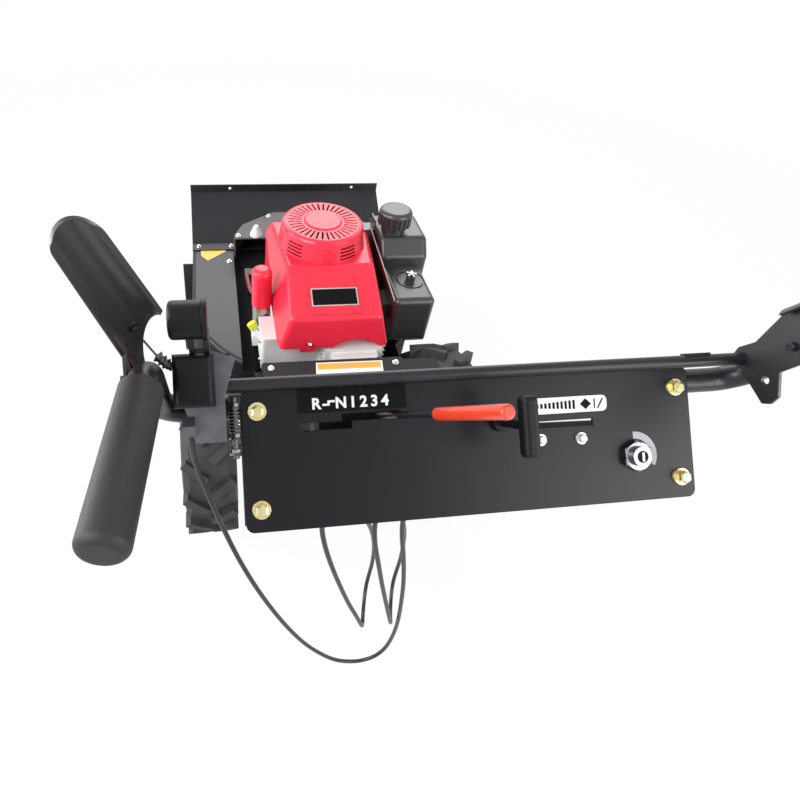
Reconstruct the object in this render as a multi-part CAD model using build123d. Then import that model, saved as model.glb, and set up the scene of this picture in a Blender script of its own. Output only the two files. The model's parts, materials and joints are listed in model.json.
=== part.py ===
from build123d import *
import os
from math import cos, radians, sin, tan

# Walk-behind rough cut mower. Millimetres, X right, Y forward, Z up, ground at Z = 0.
# Pieces are laid out with the wheel axle over Y = 0 and moved together at the end.

# Wheels
tyre_radius = 208.0
tyre_width = 116.0
track_half = 282.0
rim_radius = 103.0
rim_width = 90.0
rim_sheet = 5.0
rim_lip = 8.0
hub_radius = 28.0
hub_inset = 78.0
axle_radius = 9.5
axle_end = 24.0
running_fit = 0.05
seat_gap = 0.2
lug_count = 16
lug_height = 15.0
lug_length = 60.0
lug_thick = 17.0
lug_root = 20.0
lug_middle = 28.0
lug_slant = 40.0

# Frame: heights from the axle, places along the machine from the axle
rail_width = 32.0
rail_height = 60.0
rail_rise = 17.0
rail_rear = -130.0
upright_side = 32.0
upright_foot = (-50.0, 20.0)
tyre_clearance = 28.0
rail_inner = track_half - tyre_width / 2 - tyre_clearance - upright_side - rail_width
rail_outer = rail_inner + rail_width
crank_y = tyre_radius + 144.0
spindle_y = crank_y + 123.0

# Deck
deck_width = 650.0
half_deck = deck_width / 2
deck_sheet = 4.0
deck_corner = 12.0
deck_front = spindle_y + half_deck - 15.0
well_depth = 32.0
well_half = 192.0
well_floor = tyre_radius + rail_rise
deck_top = well_floor + well_depth
skirt_bottom = 60.0
rail_front = deck_front - 185.0
guard_flange = 38.0
guard_slope = 198.0
guard_angle = 30.7
guard_lip = 28.0
guard_hole_radius = 5.0
guard_hole_drop = 13.0
guard_hole_x = (-192.0, 234.0)

# Blade and its spindle
spindle_radius = 12.7
blade_radius = half_deck - 20.0
blade_width = 64.0
blade_thick = 8.0
blade_bottom = skirt_bottom + 32.0
blade_lift = 14.0
sail_length = 98.0
collar_radius = 28.0
housing_neck = 40.0
housing_flange = 76.0
housing_flange_thick = 10.0
housing_bottom = blade_bottom + 36.0
housing_top = well_floor + 15.0
pulley_radius = 60.0
pulley_thick = 18.0

# Skid runners beside the deck: places from the spindle
skid_width = 35.0
skid_thick = 6.0
skid_bend = 40.0
skid_rear = (spindle_y + 33.0, 150.0)
skid_heel_y = spindle_y + 53.0
skid_toe_y = spindle_y + 215.0
skid_front = (spindle_y + 277.0, 205.0)

# Engine platform and the cover over the transaxle
platform_thick = 5.0
platform_bottom = well_floor + rail_height
platform_top = platform_bottom + platform_thick
platform_left = -165.0
platform_right = 215.0
platform_rear = crank_y - 202.0
platform_front = crank_y + 208.0
wing_right = 300.0
wing_rear = crank_y - 112.0
wing_front = crank_y + 128.0
rear_cover_half = 160.0
rear_cover_y = (-110.0, 40.0)
rear_cover_top = platform_bottom + 135.0
rear_cover_sheet = 4.0
rear_cover_corner = 8.0
rear_cover_ledge = 235.0
rear_cover_ledge_rear = -60.0

# Belt cover: half width and place from the deck's front, corner by corner
cover_x = 14.0
cover_top = deck_top + 73.0
cover_sheet = 4.0
cover_corner = 5.0
cover_corners = ((204.0, -85.0), (204.0, -60.0), (174.0, 4.0), (67.0, 81.0))
cover_cap_place = (-119.0, deck_front - 67.0)
cover_cap_radius = 20.0
cover_cap_height = 34.0

# Transaxle: heights from the axle
gearbox_half = rail_inner - 42.0
gearbox_length = 170.0
gearbox_drop = 88.0
gearbox_rise = 62.0
gearbox_corner = 24.0
gearbox_rib = 5.0
gearbox_rib_count = 5
gearbox_rib_pitch = 32.0
axle_tube_radius = 16.5
axle_tube_reach = track_half - 92.0
saddle_length = 56.0
saddle_drop = 23.0

# Engine: places from the crankshaft, heights from the platform
engine_x = 14.0
base_radius = 120.0
base_thick = 16.0
case_half = 120.0
case_front = 110.0
case_rear = 120.0
case_corner = 30.0
block_top = platform_top + 100.0
barrel_left = -150.0
barrel_right = 120.0
barrel_rear = crank_y - 202.0
barrel_corner = 10.0
head_x = (0.0, 140.0)
head_rear = crank_y - 240.0
head_z = (platform_top + 10.0, platform_top + 90.0)
fin_count = 6
fin_thick = 3.0
fin_reach = 9.0
head_cover_inset = 14.0
head_cover_depth = 24.0
head_cover_corner = 12.0

# Engine shroud: half width at the rear foot, and how it grows forward and shrinks upward
shroud_x = 20.0
shroud_most = 134.0
shroud_foot_half = 130.0
shroud_widen = 0.1022
shroud_narrow = 0.2692
shroud_rear = crank_y - 240.0
shroud_front = crank_y + 123.0
shroud_shoulder_y = crank_y - 107.0
shroud_crease = block_top + 84.0
shroud_top = block_top + 145.0
shroud_rear_lean = 6.0
shroud_brow = (30.0, 40.0)
shroud_corner = 14.0
shroud_pad = 2.5
shroud_pad_half = (60.0, 47.0)
shroud_pad_run = (10.0, 122.0)
arch_x = 72.0
arch_radius = 90.0
arch_rise = 20.0
tab_x = (-62.0, -24.0)
tab_drop = 11.0
tab_thick = 7.0

# Recoil cover: a slotted drum on the shroud
cowl_base_radius = 108.0
cowl_rim_radius = 96.0
cowl_height = 53.0
cowl_edge = 7.0
cowl_cap_radius = 47.0
cowl_cap_rise = 3.0
slot_count = 36
slot_width = 4.4
slot_depth = 7.0
slot_reach = (52.0, 85.0)
louvre_angles = (-178.0, -138.0, -62.0, -22.0, 18.0, 58.0, 98.0, 138.0)
louvre_span = 24.0
louvre_rows = 4
louvre_pitch = 8.5
louvre_height = 4.5
louvre_depth = 7.0
badge_arch_radius = 12.0
badge_arch_height = 22.0
badge_arch_rise = 3.0

# Pieces around the engine
starter_place = (-141.0, crank_y - 90.0)
starter_radius = 23.0
starter_seat = platform_top + 35.0
starter_length = 86.0
starter_cover_radius = 24.5
starter_cover_height = 106.0
starter_cover_corner = 14.0
dipstick_root = (-140.0, crank_y - 140.0, platform_top + 40.0)
dipstick_lean = (-0.5, 0.25, 0.83)
dipstick_tube_radius = 8.0
dipstick_tube_length = 44.0
dipstick_knob_radius = 12.0
dipstick_knob_height = 15.0
tank_left = 163.0
tank_right = 290.0
tank_rear = crank_y - 36.0
tank_front = crank_y + 118.0
tank_top = platform_top + 250.0
tank_slope = 40.0
tank_corner = 16.0
neck_place = (206.0, crank_y + 33.0)
neck_radius = 30.0
neck_height = 20.0
fuel_cap_radius = 42.0
fuel_cap_height = 40.0
fuel_cap_corner = 12.0
fuel_cap_flutes = 20
fuel_cap_flute_radius = 3.5
air_box_left = 168.0
air_box_right = 269.0
air_box_rear = crank_y - 187.0
air_box_z = (platform_top + 60.0, platform_top + 190.0)
air_box_corner = 14.0
air_lid_place = (226.0, crank_y - 104.0)
air_lid_radius = 36.0
air_lid_groove = 4.0
air_knob_radius = 11.0
air_knob_height = 12.0
duct_y = (crank_y - 147.0, crank_y - 87.0)
duct_z = (platform_top + 110.0, platform_top + 150.0)
control_x = (120.0, 160.0)
control_y = (crank_y + 38.0, crank_y + 74.0)
control_sheet = 3.0
control_height = 30.0
muffler_half = 78.0
muffler_depth = 64.0
muffler_z = (platform_top + 28.0, platform_top + 94.0)
muffler_stub = 12.0
muffler_corner = 18.0

# Console and handlebar
console_y = -523.0
console_z = 844.5
console_tilt = 46.0
panel_width = 458.0
panel_height = 133.0
panel_thick = 3.0
panel_corner = 8.0
panel_bolt_u = panel_width / 2 - 15.0
panel_bolt_v = 45.5
panel_bolt_radius = 4.3
gate_low = (-172.0, -124.0, 28.0)
gate_high = (-134.0, -70.0, 35.0)
gate_height = 7.5
throttle_slot = (62.0, 122.0, 15.0)
throttle_slot_height = 8.0
bracket_plate = 4.0
bracket_outer = panel_width / 2 + 1.0
bracket_half_height = 60.0
bracket_web_top = 76.0
bracket_depth = 84.0
bracket_key_gap = 1.0
upright_setback = 34.0
post_x = panel_width / 2 - 65.0
bar_radius = 12.7
bar_v = 50.0
bar_n = -20.0
bar_half = panel_width / 2 + 74.0
bar_bend = 30.0
horn_bend = 30.0
grip_root = (bar_half, -515.0, 960.5)
grip_end = (bar_half + 14.3, -661.0, 963.7)
grip_radius = 17.2
grip_length = 126.0
grip_cap = 6.0
grip_corner = 7.0
fit_gap = 0.15

# Hand levers: a cheek plate against the handle tube and a scooped blade over the grip, right hand side
rod_radius = 6.35
rod_v = 71.0
rod_n = 7.0
rod_left = 51.0 - bar_half
lever_sheet = 3.0
lever_gap = 1.2
lever_base = (bar_half, -513.0, 1003.0)
lever_tip = (bar_half + 14.4, -556.7, 1100.2)
lever_toe = 18.0
lever_base_radius = 24.0
lever_tip_radius = 18.5
lever_centre = 10.0
lever_root_right = 50.0
lever_root_left = 90.0
lever_end = 15.5
lever_notch = 234.0
lever_notch_x = 215.7
lever_notch_drop = 123.4
lever_cheek = ((-467.0, 893.0), (-467.0, 906.0), (-477.0, 922.0), (-480.0, 957.0), (-486.0, 980.0),
               (-496.0, 990.0), (-520.0, 955.0), (-523.0, 935.0), (-514.0, 916.0), (-529.0, 897.0),
               (-528.0, 886.0), (-522.0, 880.0), (-492.0, 888.0))
lever_pivot = (-508.0, 944.0)
lever_pin_radius = 4.0
lever_pin_proud = 5.0
lever_hole = (-509.4, 900.2)
lever_hole_radius = 4.0
cable_lug = 11.0
cable_lug_height = 14.0

# Controls on the console: places along and up the panel, and reach out of it
shift_foot = (-77.0, 34.0)
shift_tip = (-57.0, 45.0)
shift_reach = 165.0
shift_radius = 3.2
shift_grip_radius = 5.6
shift_grip_length = 92.0
shift_grip_cap = 4.0
shift_grip_corner = 2.0
shift_frame_depth = 56.0
shift_frame_u = (4.0 - post_x, -58.0)
shift_frame_v = (16.0, 36.0)
shift_frame_sheet = 4.0
tee_place = (24.0, 21.0)
tee_stem_radius = 4.0
tee_reach = 44.0
tee_tail = 22.0
tee_bar = (15.0, 56.0, 15.0)
tee_corner = 5.0
tee_nut_radius = 9.0
tee_nut_height = 6.0
key_place = (165.0, -21.0)
key_barrel_radius = 10.0
key_nut_radius = 14.0
key_nut_height = 6.0
key_face_height = 5.0
key_tail = 24.0

# Latch control: places from the left handle tube and up the panel
latch_plate_n = (14.0, 17.0)
latch_plate = ((22.0, 62.0), (24.0, 53.0), (33.0, 21.0), (60.0, 21.0), (60.0, 62.0), (71.0, 96.0),
               (47.0, 104.0), (45.0, 62.0))
latch_web_u = (47.0, 51.0)
latch_web_v = (32.0, 82.0)
latch_web_n = -37.0
latch_box_u = (17.0, 52.0)
latch_box_v = (54.0, 100.0)
latch_box_depth = 32.0
latch_box_corner = 6.0
latch_knob_place = (32.0, 126.0, 68.0)
latch_knob_radius = 16.0
latch_knob_length = 29.0
latch_knob_corner = 4.0
latch_rim_radius = 17.0
latch_rim_length = 4.0
latch_stalk_u = ((32.0, 37.0), (44.0, 49.0))
latch_stalk_width = 13.0
latch_stalk_n = 36.0
latch_stalk_foot = 4.0

# Cables below the console
cable_radius = 2.75
bend_share = 0.45
anchor_x = (-160.0, -50.0)
anchor_y = -528.0
anchor_z = 799.0
anchor_thick = 4.0
anchor_depth = 85.0
cable_start = 27.5 - bar_half
cable_a = ((cable_start, -510, 876), (cable_start, -510, 838), (-266, -515, 790), (-252, -524, 732),
           (-237, -532, 676), (-219, -538, 617), (-197, -543, 554), (-172, -547, 490), (-145, -549, 430),
           (-117, -550, 384),
           (-94, -550, 353), (-70, -550, 338), (-48, -550, 337), (-30, -550, 351), (-20, -550, 381),
           (-17, -550, 424), (-19, -550, 480), (-27, -550, 546), (-37, -550, 615), (-50, -549, 680),
           (-62, -547, 732), (-66, -546, 768), (-66, -546, 799))
cable_b = ((-153, -548, 799), (-153, -548, 765), (-146, -552, 725), (-134, -555, 680), (-119, -556, 630),
           (-103, -557, 580), (-87, -558, 538), (-76, -557, 504), (-70, -550, 484), (-64, -533, 472),
           (-58, -513, 472), (-53, -496, 484), (-50, -489, 504), (-50, -488, 538), (-55, -490, 582),
           (-66, -497, 634), (-82, -507, 684), (-100, -522, 728), (-119, -541, 768), (-119, -541, 799))
cable_c = ((-97, -548, 799), (-97, -548, 765), (-92, -552, 725), (-81, -555, 680), (-69, -556, 630),
           (-56, -557, 580), (-45, -558, 538), (-36, -557, 504), (-30, -550, 484), (-24, -533, 472),
           (-18, -513, 472), (-13, -496, 484), (-10, -489, 504), (-10, -488, 538), (-15, -490, 582),
           (-25, -497, 634), (-40, -507, 684), (-59, -522, 728), (-79, -541, 768), (-79, -541, 799))

# Places worked out from the sizes above
over = 5.0
cutter = 2000.0
console = Plane(
    origin=(0, console_y, console_z),
    x_dir=(1, 0, 0),
    z_dir=(0, -cos(radians(console_tilt)), sin(radians(console_tilt))),
)
latch_place = console.location * Pos(-bar_half, 0, 0)
rod_centre = console.from_local_coords(Vector(0, rod_v, rod_n))
bar_centre = console.from_local_coords(Vector(0, bar_v, bar_n))


def block(x, y, z):
    """Box between two limits along each axis."""
    size = (x[1] - x[0], y[1] - y[0], z[1] - z[0])
    return Pos((x[0] + x[1]) / 2, (y[0] + y[1]) / 2, (z[0] + z[1]) / 2) * Box(*size)


def post(place, radius, bottom, top):
    """Upright cylinder between two heights."""
    return Pos(place[0], place[1], (bottom + top) / 2) * Cylinder(radius, top - bottom)


def side_prism(points, x):
    """Outline of (y, z) points pulled across between two X limits."""
    face = Plane.YZ * make_face(Polyline(*points, close=True))
    return Pos(x[0], 0, 0) * extrude(face, x[1] - x[0])


def spun(points, axis):
    """Closed outline in the XZ plane turned about an axis."""
    return revolve(Plane.XZ * make_face(Polyline(*points, close=True)), axis, 360)


def shifted_line(points, gap):
    """The same run of points moved to its left by a gap, mitred at the corners."""
    normals = []
    for a, b in zip(points, points[1:]):
        run = Vector(b[0] - a[0], b[1] - a[1]).normalized()
        normals.append(Vector(-run.Y, run.X))
    result = []
    for i, point in enumerate(points):
        first = normals[max(i - 1, 0)]
        second = normals[min(i, len(normals) - 1)]
        mitre = (first + second) * (gap / (1 + first.dot(second)))
        result.append((point[0] + mitre.X, point[1] + mitre.Y))
    return result


def bent_strip(points, thick, bend, x):
    """Flat bar bent along (y, z) points, bend being the radius of its inner side, for left turns."""
    inner = shifted_line(points, thick)
    outer_line = FilletPolyline(*points, radius=bend + thick)
    inner_line = FilletPolyline(*inner, radius=bend)
    ends = Line(points[0], inner[0]) + Line(points[-1], inner[-1])
    face = Plane.YZ * make_face(outer_line + inner_line + ends)
    return Pos(x[0], 0, 0) * extrude(face, x[1] - x[0])


def round_bar(start, end, radius):
    """Cylinder between two points."""
    span = Vector(*end) - Vector(*start)
    foot = Plane(origin=start, z_dir=span)
    return extrude(foot * Circle(radius), span.length)


def mirrored(solid):
    return mirror(solid, about=Plane.YZ)


def deck_plan(half, front):
    """Half-round tail about the spindle with straight sides forward."""
    tail = Pos(0, spindle_y) * Circle(half)
    sides = Pos(0, (spindle_y + front) / 2) * Rectangle(2 * half, front - spindle_y)
    return tail + sides


def rounded_top(solid, radius):
    """Round the top edges of a deck block, apart from its front edge."""
    edges = solid.edges().group_by(Axis.Z)[-1].sort_by(Axis.Y)
    return fillet(edges[:-1], radius)


def deck():
    outer = Pos(0, 0, skirt_bottom) * extrude(deck_plan(half_deck, deck_front), deck_top - skirt_bottom)
    outer = rounded_top(outer, deck_corner)
    inner_plan = deck_plan(half_deck - deck_sheet, deck_front + over)
    inner = Pos(0, 0, skirt_bottom) * extrude(inner_plan, deck_top - deck_sheet - skirt_bottom)
    inner = rounded_top(inner, deck_corner - deck_sheet)
    rear = spindle_y - half_deck
    well_y = (rear - over, deck_front - deck_sheet)
    well = block((-well_half, well_half), well_y, (well_floor, deck_top + over))
    wall_half = well_half + deck_sheet
    tray = block((-wall_half, wall_half), (rear - over, deck_front), (well_floor - deck_sheet, deck_top))
    shell = (outer - inner + (tray & outer)) - well
    floor_z = (well_floor - over - deck_sheet, well_floor + over)
    return shell - post((0, spindle_y), housing_neck + seat_gap, *floor_z)


def guard_line():
    """Lower side of the guard sheet: flange on the deck, slope, upright lip."""
    bend = (deck_front, deck_top)
    crest = (
        deck_front + guard_slope * cos(radians(guard_angle)),
        deck_top + guard_slope * sin(radians(guard_angle)),
    )
    return [(deck_front - guard_flange, deck_top), bend, crest, (crest[0], crest[1] + guard_lip)]


def front_guard():
    line = guard_line()
    upper = shifted_line(line, deck_sheet)
    sheet = side_prism(line + upper[::-1], (-half_deck, half_deck))
    hole_z = line[3][1] - guard_hole_drop
    for x in guard_hole_x:
        start = (x, line[3][0] - 2 * deck_sheet, hole_z)
        end = (x, line[3][0] + deck_sheet, hole_z)
        sheet -= round_bar(start, end, guard_hole_radius)
    return sheet


def belt_cover():
    left = [(cover_x - half, deck_front + y) for half, y in cover_corners]
    right = [(cover_x + half, deck_front + y) for half, y in reversed(cover_corners)]
    base = deck_top + deck_sheet
    outline = make_face(Polyline(*(left + right), close=True))
    outer = Pos(0, 0, base) * extrude(outline, cover_top - base)
    outer = fillet(outer.edges().group_by(Axis.Z)[-1], cover_corner)
    hollow_height = cover_top - cover_sheet - base
    hollow = Pos(0, 0, base) * extrude(offset(outline, -cover_sheet), hollow_height)
    mouth_half = cover_corners[0][0] - cover_sheet
    mouth_y = deck_front + cover_corners[0][1]
    mouth_x = (cover_x - mouth_half, cover_x + mouth_half)
    hollow += block(mouth_x, (mouth_y - over, mouth_y + 2 * over), (base, base + hollow_height))
    bend, crest = shifted_line(guard_line(), deck_sheet)[1:3]
    below = [(bend[0], base - over), bend, crest, (crest[0], base - over)]
    return outer - hollow - side_prism(below, (-half_deck, half_deck))


def cover_cap():
    top = cover_top + cover_cap_height
    tip = cover_cap_radius / 3
    brim = cover_top + over
    profile = ((0, cover_top), (cover_cap_radius, cover_top), (cover_cap_radius, brim), (tip, top), (0, top))
    return Pos(cover_cap_place[0], cover_cap_place[1], 0) * spun(profile, Axis.Z)


def skid():
    line = [skid_rear, (skid_heel_y, 0), (skid_toe_y, 0), skid_front]
    return bent_strip(line, skid_thick, skid_bend, (half_deck, half_deck + skid_width))


def frame_rail():
    return block((rail_inner, rail_outer), (rail_rear, rail_front), (well_floor, platform_bottom))


def engine_platform():
    z = (platform_bottom, platform_top)
    main = block((platform_left, platform_right), (platform_rear, platform_front), z)
    return main + block((platform_right, wing_right), (wing_rear, wing_front), z)


def rear_cover():
    span = (-rear_cover_half, rear_cover_half)
    outer = block(span, rear_cover_y, (platform_bottom, rear_cover_top))
    outer = fillet(outer.edges().filter_by(Axis.Z), rear_cover_corner)
    inner_half = rear_cover_half - rear_cover_sheet
    inner_y = (rear_cover_y[0] + rear_cover_sheet, rear_cover_y[1] - rear_cover_sheet)
    inner = block((-inner_half, inner_half), inner_y, (platform_bottom, rear_cover_top - rear_cover_sheet))
    ledge_x = (rear_cover_half - rear_cover_sheet, rear_cover_ledge)
    ledge_y = (rear_cover_ledge_rear, rear_cover_y[1] - rear_cover_corner)
    ledge_z = (rear_cover_top - rear_cover_sheet, rear_cover_top)
    return outer - inner + block(ledge_x, ledge_y, ledge_z)


def transaxle():
    half_length = gearbox_length / 2
    z = (tyre_radius - gearbox_drop, tyre_radius + gearbox_rise)
    case = block((-gearbox_half, gearbox_half), (-half_length, half_length), z)
    case = fillet(case.edges().filter_by(Axis.X), gearbox_corner)
    for i in range(gearbox_rib_count):
        x = (i - (gearbox_rib_count - 1) / 2) * gearbox_rib_pitch
        rib_x = (x - gearbox_rib / 2, x + gearbox_rib / 2)
        rib_y = (-half_length - gearbox_rib, half_length + gearbox_rib)
        case += block(rib_x, rib_y, (z[0] + gearbox_corner, tyre_radius))
    tube_start = (-axle_tube_reach, 0, tyre_radius)
    tube_end = (axle_tube_reach, 0, tyre_radius)
    body = case + round_bar(tube_start, tube_end, axle_tube_radius)
    saddle_y = (-saddle_length / 2, saddle_length / 2)
    saddle = block((rail_inner, rail_outer), saddle_y, (tyre_radius - saddle_drop, well_floor))
    body += saddle
    body += mirrored(saddle)
    for side in (-1, 1):
        inside = (side * (hub_inset - axle_end), 0, tyre_radius)
        outside = (side * (axle_tube_reach + over), 0, tyre_radius)
        body -= round_bar(inside, outside, axle_radius + running_fit)
    return body


def half_axle():
    start = (hub_inset - axle_end + running_fit + seat_gap, 0, tyre_radius)
    end = (track_half + hub_radius, 0, tyre_radius)
    return round_bar(start, end, axle_radius)


def wheel_axis():
    return Axis((0, 0, tyre_radius), (1, 0, 0))


def rim():
    """Steel rim: hub, dished disc, barrel and two lips, turned about the axle."""
    half = rim_width / 2
    bore = axle_radius + seat_gap
    hub_in = track_half - hub_inset
    disc_x = track_half - rim_sheet
    barrel = rim_radius - rim_sheet
    lip = rim_radius + rim_lip
    hub_out = track_half + hub_radius - rim_sheet
    outline = (
        (hub_in, bore), (hub_out, bore), (hub_out, hub_radius),
        (disc_x + rim_sheet, hub_radius), (disc_x + rim_sheet, barrel), (track_half + half, barrel),
        (track_half + half + rim_sheet, lip), (track_half + half, lip), (track_half + half, rim_radius),
        (track_half - half, rim_radius), (track_half - half, lip), (track_half - half - rim_sheet, lip),
        (track_half - half, barrel), (disc_x, barrel), (disc_x, hub_radius), (hub_in, hub_radius),
    )
    return spun([(x, tyre_radius + r) for x, r in outline], wheel_axis())


def tyre():
    """Section as shares of its half width and of its height, turned about the axle, with slanting lugs."""
    half = tyre_width / 2
    seat = rim_radius + seat_gap
    bead = rim_width / 2 - seat_gap
    height = tyre_radius - lug_height - seat
    side = ((bead, 0), (bead, 0.12 * height), (0.96 * half, 0.36 * height), (half, 0.6 * height),
            (0.92 * half, 0.86 * height), (0.7 * half, height))
    right = [(track_half + x, tyre_radius + seat + h) for x, h in side]
    left = [(track_half - x, tyre_radius + seat + h) for x, h in reversed(side)]
    ring = spun(right + left, wheel_axis())
    return ring + (lugs() & tread_limit())


def lugs():
    depth = lug_height + lug_root
    middle = 2 * tyre_radius - depth / 2 + over / 2
    pieces = []
    for side in (-1, 1):
        bar = Pos(track_half + side * lug_middle, 0, middle) * Rot(0, 0, side * lug_slant)
        bar *= Box(lug_length, lug_thick, depth + over)
        for i in range(lug_count):
            turn = 360 / lug_count * (i + (side + 1) / 4)
            pieces.append(bar.rotate(wheel_axis(), turn))
    return Part() + pieces


def tread_limit():
    """Room for the tyre: its full radius and width about the axle."""
    start = (track_half - tyre_width / 2, 0, tyre_radius)
    end = (track_half + tyre_width / 2, 0, tyre_radius)
    return round_bar(start, end, tyre_radius)


def blade_bar():
    top = blade_bottom + blade_thick
    y = (spindle_y - blade_width / 2, spindle_y + blade_width / 2)
    bar = block((-blade_radius, blade_radius), y, (blade_bottom, top))
    inner = blade_radius - sail_length
    for span, edge in (((-blade_radius, -inner), y[0]), ((inner, blade_radius), y[1] - blade_thick / 2)):
        bar += block(span, (edge, edge + blade_thick / 2), (top, top + blade_lift))
    return bar


def blade_spindle():
    seat = blade_bottom + blade_thick
    shaft = post((0, spindle_y), spindle_radius, seat, housing_top + pulley_thick + seat_gap)
    collar = post((0, spindle_y), collar_radius, seat, housing_bottom - seat_gap)
    pulley_bottom = housing_top + seat_gap
    pulley = post((0, spindle_y), pulley_radius, pulley_bottom, pulley_bottom + pulley_thick)
    return shaft + collar + pulley


def spindle_housing():
    neck = post((0, spindle_y), housing_neck, housing_bottom, housing_top)
    flange = post((0, spindle_y), housing_flange, well_floor, well_floor + housing_flange_thick)
    bore = post((0, spindle_y), spindle_radius + running_fit, housing_bottom - over, housing_top + over)
    return neck + flange - bore


def engine_block():
    base = post((engine_x, crank_y), base_radius, platform_top, platform_top + base_thick)
    case_x = (engine_x - case_half, engine_x + case_half)
    case = block(case_x, (crank_y - case_rear, crank_y + case_front), (platform_top + base_thick, block_top))
    case = fillet(case.edges().filter_by(Axis.Z), case_corner)
    barrel_y = (barrel_rear, crank_y - case_rear + over)
    barrel = block((barrel_left, barrel_right), barrel_y, (platform_top, block_top))
    barrel = fillet(barrel.edges().filter_by(Axis.Z).sort_by(Axis.Y)[:2], barrel_corner)
    head = block(head_x, (head_rear, barrel_rear), head_z)
    pitch = (head_z[1] - head_z[0] - fin_thick) / (fin_count - 1)
    for i in range(fin_count):
        z = head_z[0] + i * pitch
        fin_x = (head_x[0] - fin_reach, head_x[1] + fin_reach)
        head += block(fin_x, (head_rear + fin_reach, barrel_rear), (z, z + fin_thick))
    seat_x = (platform_left, case_x[0] + over)
    seat_y = (starter_place[1] - starter_radius, starter_place[1] + starter_radius)
    seat = block(seat_x, seat_y, (platform_top, starter_seat))
    return base + case + barrel + head + seat + dipstick_bar(dipstick_tube_radius, 0, dipstick_tube_length)


def dipstick_bar(radius, start, end):
    """Round piece on the slanting line of the oil filler between two distances from its root."""
    lean = Vector(*dipstick_lean).normalized()
    root = Vector(*dipstick_root)
    return round_bar((root + lean * start), (root + lean * end), radius)


def dipstick():
    start = dipstick_tube_length
    return dipstick_bar(dipstick_knob_radius, start, start + dipstick_knob_height)


def head_cover():
    x = (head_x[0] + head_cover_inset, head_x[1] - head_cover_inset)
    z = (head_z[0] + head_cover_inset / 2, head_z[1] - head_cover_inset / 2)
    lid = block(x, (head_rear - head_cover_depth, head_rear), z)
    return fillet(lid.edges().group_by(Axis.Y)[0], head_cover_corner)


def shroud_half(y, z):
    """Half width of the shroud's leaning flanks."""
    return shroud_foot_half + shroud_widen * (y - shroud_rear) - shroud_narrow * (z - block_top)


def engine_shroud():
    """Hood over the cylinder: side outline pulled across, flanks leaned in, edges rounded."""
    outline = (
        (shroud_rear, block_top), (shroud_rear + shroud_rear_lean, shroud_crease),
        (shroud_shoulder_y, shroud_top), (shroud_front - shroud_brow[0], shroud_top),
        (shroud_front, shroud_top - shroud_brow[1]), (shroud_front, block_top),
    )
    hood = side_prism(outline, (shroud_x - shroud_most, shroud_x + shroud_most))
    for side in (-1, 1):
        foot = Vector(shroud_x + side * shroud_half(shroud_rear, block_top), shroud_rear, block_top)
        out = Vector(side, -shroud_widen, shroud_narrow)
        hood -= Plane(origin=foot, z_dir=out) * Pos(0, 0, cutter / 2) * Box(cutter, cutter, cutter)
    hood = fillet(hood.edges().filter_by(lambda edge: edge.center().Z > block_top + over), shroud_corner)
    slope = Plane(
        origin=(shroud_x, shroud_rear + shroud_rear_lean, shroud_crease), x_dir=(1, 0, 0),
        z_dir=(0, shroud_crease - shroud_top, shroud_shoulder_y - shroud_rear - shroud_rear_lean),
    )
    low, high = shroud_pad_half
    start, end = shroud_pad_run
    pad = make_face(Polyline((-low, start), (low, start), (high, end), (-high, end), close=True))
    hood += slope * extrude(pad, shroud_pad) + slope * extrude(pad, -over)
    arch_z = block_top + arch_rise - arch_radius
    hood -= round_bar((arch_x, shroud_rear - over, arch_z), (arch_x, barrel_rear, arch_z), arch_radius)
    tab_y = (shroud_rear, shroud_rear + tab_thick)
    return hood + block(tab_x, tab_y, (block_top - tab_drop, block_top + over))


def recoil_cover():
    """Drum with radial slots on top, rows of louvres round its side and a plain arch at the rear."""
    top = shroud_top + cowl_height
    crown = top + cowl_cap_rise
    rim = cowl_rim_radius
    profile = (
        (0, shroud_top), (cowl_base_radius, shroud_top), (rim + cowl_edge / 2, top - cowl_edge),
        (rim, top - cowl_edge / 3), (rim - cowl_edge, top), (cowl_cap_radius, top),
        (cowl_cap_radius - over, crown), (0, crown),
    )
    drum = spun(profile, Axis.Z)
    cuts = []
    middle = (slot_reach[0] + slot_reach[1]) / 2
    for i in range(slot_count):
        slot = SlotOverall(slot_reach[1] - slot_reach[0], slot_width)
        cutting = Pos(0, 0, top - slot_depth) * extrude(Pos(middle, 0) * slot, slot_depth + over)
        cuts.append(cutting.rotate(Axis.Z, 360 / slot_count * i))
    for angle in louvre_angles:
        for row in range(louvre_rows):
            z = shroud_top + over + row * louvre_pitch
            shrink = (z - shroud_top) / cowl_height * (cowl_base_radius - rim)
            inner = cowl_base_radius - shrink - louvre_depth
            face = ((inner, z), (cowl_base_radius + over, z), (cowl_base_radius + over, z + louvre_height),
                    (inner, z + louvre_height))
            ring = revolve(Plane.XZ * make_face(Polyline(*face, close=True)), Axis.Z, louvre_span)
            cuts.append(ring.rotate(Axis.Z, angle - louvre_span / 2))
    drum -= cuts
    arch = Pos(0, badge_arch_height / 2) * Rectangle(2 * badge_arch_radius, badge_arch_height)
    arch += Pos(0, badge_arch_height) * Circle(badge_arch_radius)
    rear = Plane(origin=(0, -cowl_base_radius, shroud_top), x_dir=(1, 0, 0), z_dir=(0, -1, 0))
    drum += rear * extrude(arch, -2 * cowl_edge) + rear * extrude(arch, badge_arch_rise - over / 2)
    return Pos(engine_x, crank_y, 0) * drum


def starter_motor():
    return post(starter_place, starter_radius, starter_seat, starter_seat + starter_length)


def starter_cover():
    bottom = starter_seat + starter_length
    lid = post(starter_place, starter_cover_radius, bottom, bottom + starter_cover_height)
    return fillet(lid.edges().group_by(Axis.Z)[-1], starter_cover_corner)


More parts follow.
